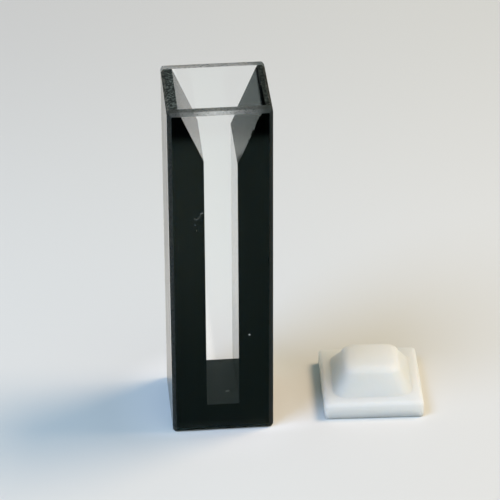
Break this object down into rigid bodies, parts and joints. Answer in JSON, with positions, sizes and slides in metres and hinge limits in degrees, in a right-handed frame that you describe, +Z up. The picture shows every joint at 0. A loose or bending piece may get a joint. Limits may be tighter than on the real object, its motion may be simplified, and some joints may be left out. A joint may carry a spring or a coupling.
{
  "type": "cuvette",
  "caption": "Upright semi-micro cuvette with clear windows, black side walls, a narrow slot that flares at the mouth, and a loose plug lid lying beside it.",
  "frame": {"origin": "centre of the cell's square underside, on the surface it stands on", "axes": "+Z up along the cell, X across the two black side walls, +Y from the front window to the back window along the light path; the lid lies towards +X"},
  "size_m": [0.0319, 0.0139, 0.045],
  "materials": {
    "clear_window": "polished, with ground edges",
    "black_glass": "polished, with a ground rim",
    "ground_black_glass": "fine ground top",
    "white_lid": "waxy matte"
  },
  "bodies": {
    "root": {"front_window": "clear_window", "back_window": "clear_window", "left_wall": "black_glass", "right_wall": "black_glass", "base_block": "ground_black_glass", "lid": "white_lid"}
  },
  "joints": []
}
